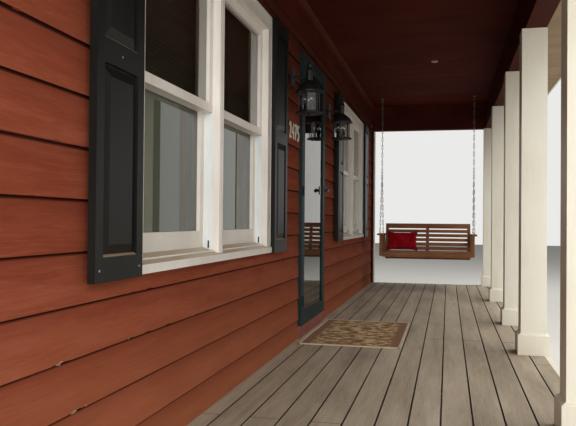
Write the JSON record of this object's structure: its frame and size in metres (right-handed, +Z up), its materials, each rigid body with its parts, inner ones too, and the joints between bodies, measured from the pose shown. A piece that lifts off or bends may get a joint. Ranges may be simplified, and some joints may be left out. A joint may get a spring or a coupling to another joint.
{
  "type": "front porch",
  "caption": "Roofed front porch: lap-sided wall with twin windows, shutters and a storm door, board deck, boxed posts, lean-to roof, wall lanterns and a hanging bench swing.",
  "frame": {"origin": "middle of the bounding box at ground level", "axes": "+X along the wall to the right as seen from the front, the front faces -Y, +Z up"},
  "size_m": [9.8, 2.392, 3.5739],
  "materials": {
    "concrete": "rough",
    "wall_framing": "bare",
    "siding": "satin paint",
    "cream_trim": "satin paint",
    "dark_trim": "satin paint",
    "window_trim": "satin paint",
    "clear_glass": "clear",
    "blind_cloth": "matt",
    "shutter_plastic": "satin",
    "door_metal": "satin",
    "threshold": "satin paint",
    "door_wood": "varnish",
    "black_metal": "satin",
    "deck_wood": "weathered paint",
    "frame_wood": "bare",
    "ceiling_wood": "satin paint",
    "white_plastic": "satin",
    "shingles": "granular",
    "soffit_panel": "satin",
    "swing_wood": "stained",
    "chain_steel": "dull",
    "pillow_cloth": "woven",
    "mat_fibre": "woven"
  },
  "bodies": {
    "porch": {"foundation": "concrete", "wall_lower": "wall_framing", "wall_piers": "wall_framing", "wall_upper": "wall_framing", "lap_siding": "siding", "corner_boards": "cream_trim", "wall_frieze": "dark_trim", "left_window_frame": "window_trim", "left_window_sashes": "window_trim", "right_window_frame": "window_trim", "right_window_sashes": "window_trim", "window_glass": "clear_glass", "window_blinds": "blind_cloth", "shutters": "shutter_plastic", "door_frame": "door_metal", "door_sill": "threshold", "entry_door": "door_wood", "left_lantern": "black_metal", "right_lantern": "black_metal", "lantern_glass": "clear_glass", "deck_boards": "deck_wood", "deck_joists": "frame_wood", "deck_rim": "frame_wood", "deck_pads": "concrete", "deck_edge_trim": "cream_trim", "entry_posts": "cream_trim", "middle_posts": "cream_trim", "corner_posts": "cream_trim", "front_beam": "dark_trim", "end_beams": "dark_trim", "ceiling": "ceiling_wood", "ceiling_cover": "white_plastic", "roof_frame": "frame_wood", "roof_shingles": "shingles", "eave_soffit": "soffit_panel", "fascia_boards": "cream_trim", "gable_ends": "siding", "swing_hooks": "chain_steel", "door_mat": "mat_fibre"},
    "storm_leaf": {"storm_door": "door_metal", "storm_door_glass": "clear_glass", "storm_door_handle": "black_metal"},
    "swing": {"swing_seat": "swing_wood", "swing_back": "swing_wood", "swing_arms": "swing_wood", "swing_chains": "chain_steel", "swing_pillow": "pillow_cloth"}
  },
  "joints": [
    {"name": "storm_door_hinge", "type": "hinge", "parent": "porch", "child": "storm_leaf", "pos_m": [-0.454, 1.0265, 1.3], "axis": [0, 0, -1], "range_deg": [0, 90]},
    {"name": "swing_hinge", "type": "hinge", "parent": "porch", "child": "swing", "pos_m": [3.82, 0.2185, 2.763], "axis": [0, 1, 0], "range_deg": [-20, 20]}
  ]
}
